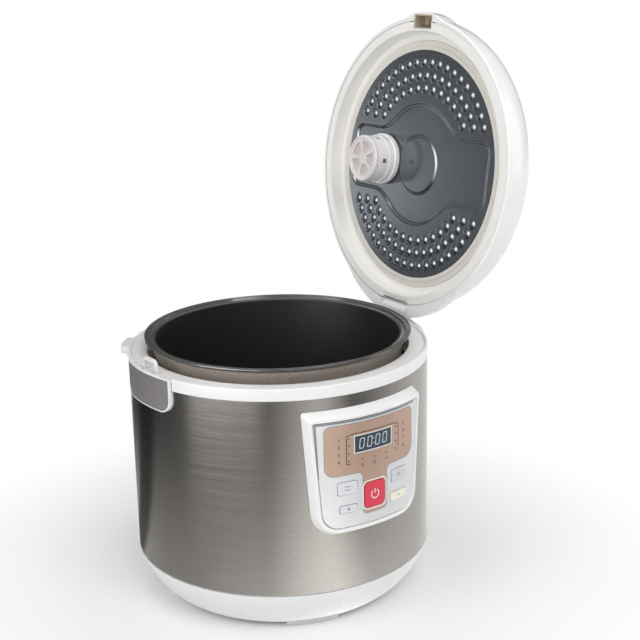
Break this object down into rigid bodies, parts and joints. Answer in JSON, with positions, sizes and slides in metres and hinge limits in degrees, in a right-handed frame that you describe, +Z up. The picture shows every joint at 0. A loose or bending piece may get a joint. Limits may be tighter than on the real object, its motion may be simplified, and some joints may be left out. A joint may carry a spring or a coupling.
{
  "type": "rice cooker",
  "caption": "Round rice cooker with a steel-sleeved body, control panel, hinged domed lid with steam valve, dimpled inner plate, push latch and lift-out pot.",
  "frame": {"origin": "on the body's axis, in the plane that the feet stand on", "axes": "+Z up along the body's axis, -Y towards the control panel, +X towards the lid hinge, -X towards the latch"},
  "size_m": [0.3787, 0.2989, 0.546],
  "materials": {
    "white_gloss": "glossy white moulding",
    "base_white": "glossy light grey-white moulding",
    "cream_plastic": "glossy cream moulding",
    "underside_plastic": "fine matte texture",
    "foot_plastic": "matte",
    "steel_sheet": "brushed round the body",
    "spring_steel": "bright",
    "plated_steel": "zinc plated",
    "well_metal": "satin",
    "cast_metal": "as cast",
    "element_metal": "dull dark sheath",
    "fuse_ceramic": "matte",
    "board_green": "circuit board",
    "black_plastic": "fine matte",
    "tray_plastic": "matte grey",
    "overlay_silver": "metallic silver film under gloss",
    "window_dark": "smoked window",
    "display_white": "matte",
    "key_red": "glossy",
    "key_grey": "glossy",
    "key_cream": "glossy",
    "plate_slate": "dark coated sheet",
    "silicone": "translucent beige",
    "valve_plastic": "milky",
    "pocket_beige": "matte",
    "pot_coated": "dark non-stick inside, satin outside"
  },
  "bodies": {
    "base": {"base_shell": "base_white", "bottom_plate": "underside_plastic", "feet": "foot_plastic", "base_screws": "plated_steel", "body_sleeve": "steel_sheet", "top_ring": "white_gloss", "inner_liner": "well_metal", "liner_brackets": "plated_steel", "heating_plate": "cast_metal", "heating_element": "element_metal", "sensor_guide": "plated_steel", "sensor_spring": "spring_steel", "thermal_fuse": "fuse_ceramic", "power_board": "board_green", "power_components": "black_plastic", "inlet_socket": "black_plastic", "inlet_pins": "plated_steel", "panel_bezel": "white_gloss", "panel_carrier": "tray_plastic", "panel_overlay": "overlay_silver", "display_window": "window_dark", "display_module": "display_white", "control_board": "board_green", "key_switches": "black_plastic", "latch_pin": "plated_steel", "latch_spring": "spring_steel", "spoon_holder_lug": "cream_plastic", "hinge_springs": "spring_steel"},
    "lid": {"hinge_pin": "plated_steel", "lid_shell": "white_gloss", "lid_frame": "cream_plastic", "inner_plate": "plate_slate", "lid_gasket": "silicone", "valve_body": "valve_plastic", "valve_seal": "silicone", "valve_cap": "valve_plastic", "steam_cap": "white_gloss", "keeper_box": "pocket_beige", "latch_keeper": "plated_steel"},
    "pot": {"inner_pot": "pot_coated"},
    "latch": {"latch_lever": "white_gloss"},
    "sensor": {"sensor_button": "well_metal"},
    "key_start": {"key_start": "key_red"},
    "key_left_upper": {"key_left_upper": "key_grey"},
    "key_left_lower": {"key_left_lower": "key_grey"},
    "key_right_upper": {"key_right_upper": "key_grey"},
    "key_right_lower": {"key_right_lower": "key_cream"}
  },
  "joints": [
    {"name": "lid_hinge", "type": "hinge", "parent": "base", "child": "lid", "pos_m": [0.1479, 0, 0.25], "axis": [0, 1, 0], "range_deg": [-97.5, 0], "stiffness_Nm_per_rad": 0.9, "springref_deg": 11.46},
    {"name": "pot_lift", "type": "slide", "parent": "base", "child": "pot", "axis": [0, 0, 1], "range_m": [0, 0.2]},
    {"name": "latch_press", "type": "hinge", "parent": "base", "child": "latch", "pos_m": [-0.142, 0, 0.2365], "axis": [0, -1, 0], "range_deg": [0, 5], "stiffness_Nm_per_rad": 0.8, "springref_deg": -3.44},
    {"name": "sensor_press", "type": "slide", "parent": "base", "child": "sensor", "axis": [0, 0, -1], "range_m": [0, 0.003], "stiffness_N_per_m": 500, "springref_m": -0.002, "deforming": ["sensor_spring"]},
    {"name": "key_start_press", "type": "slide", "parent": "base", "child": "key_start", "axis": [-0.0039, 1, 0], "range_m": [0, 0.0008], "stiffness_N_per_m": 1500, "springref_m": -0.0004},
    {"name": "key_left_upper_press", "type": "slide", "parent": "base", "child": "key_left_upper", "axis": [0.1818, 0.9833, 0], "range_m": [0, 0.0008], "stiffness_N_per_m": 1500, "springref_m": -0.0004},
    {"name": "key_left_lower_press", "type": "slide", "parent": "base", "child": "key_left_lower", "axis": [0.1772, 0.9842, 0], "range_m": [0, 0.0008], "stiffness_N_per_m": 1500, "springref_m": -0.0004},
    {"name": "key_right_upper_press", "type": "slide", "parent": "base", "child": "key_right_upper", "axis": [-0.1929, 0.9812, 0], "range_m": [0, 0.0008], "stiffness_N_per_m": 1500, "springref_m": -0.0004},
    {"name": "key_right_lower_press", "type": "slide", "parent": "base", "child": "key_right_lower", "axis": [-0.1903, 0.9817, 0], "range_m": [0, 0.0008], "stiffness_N_per_m": 1500, "springref_m": -0.0004}
  ]
}
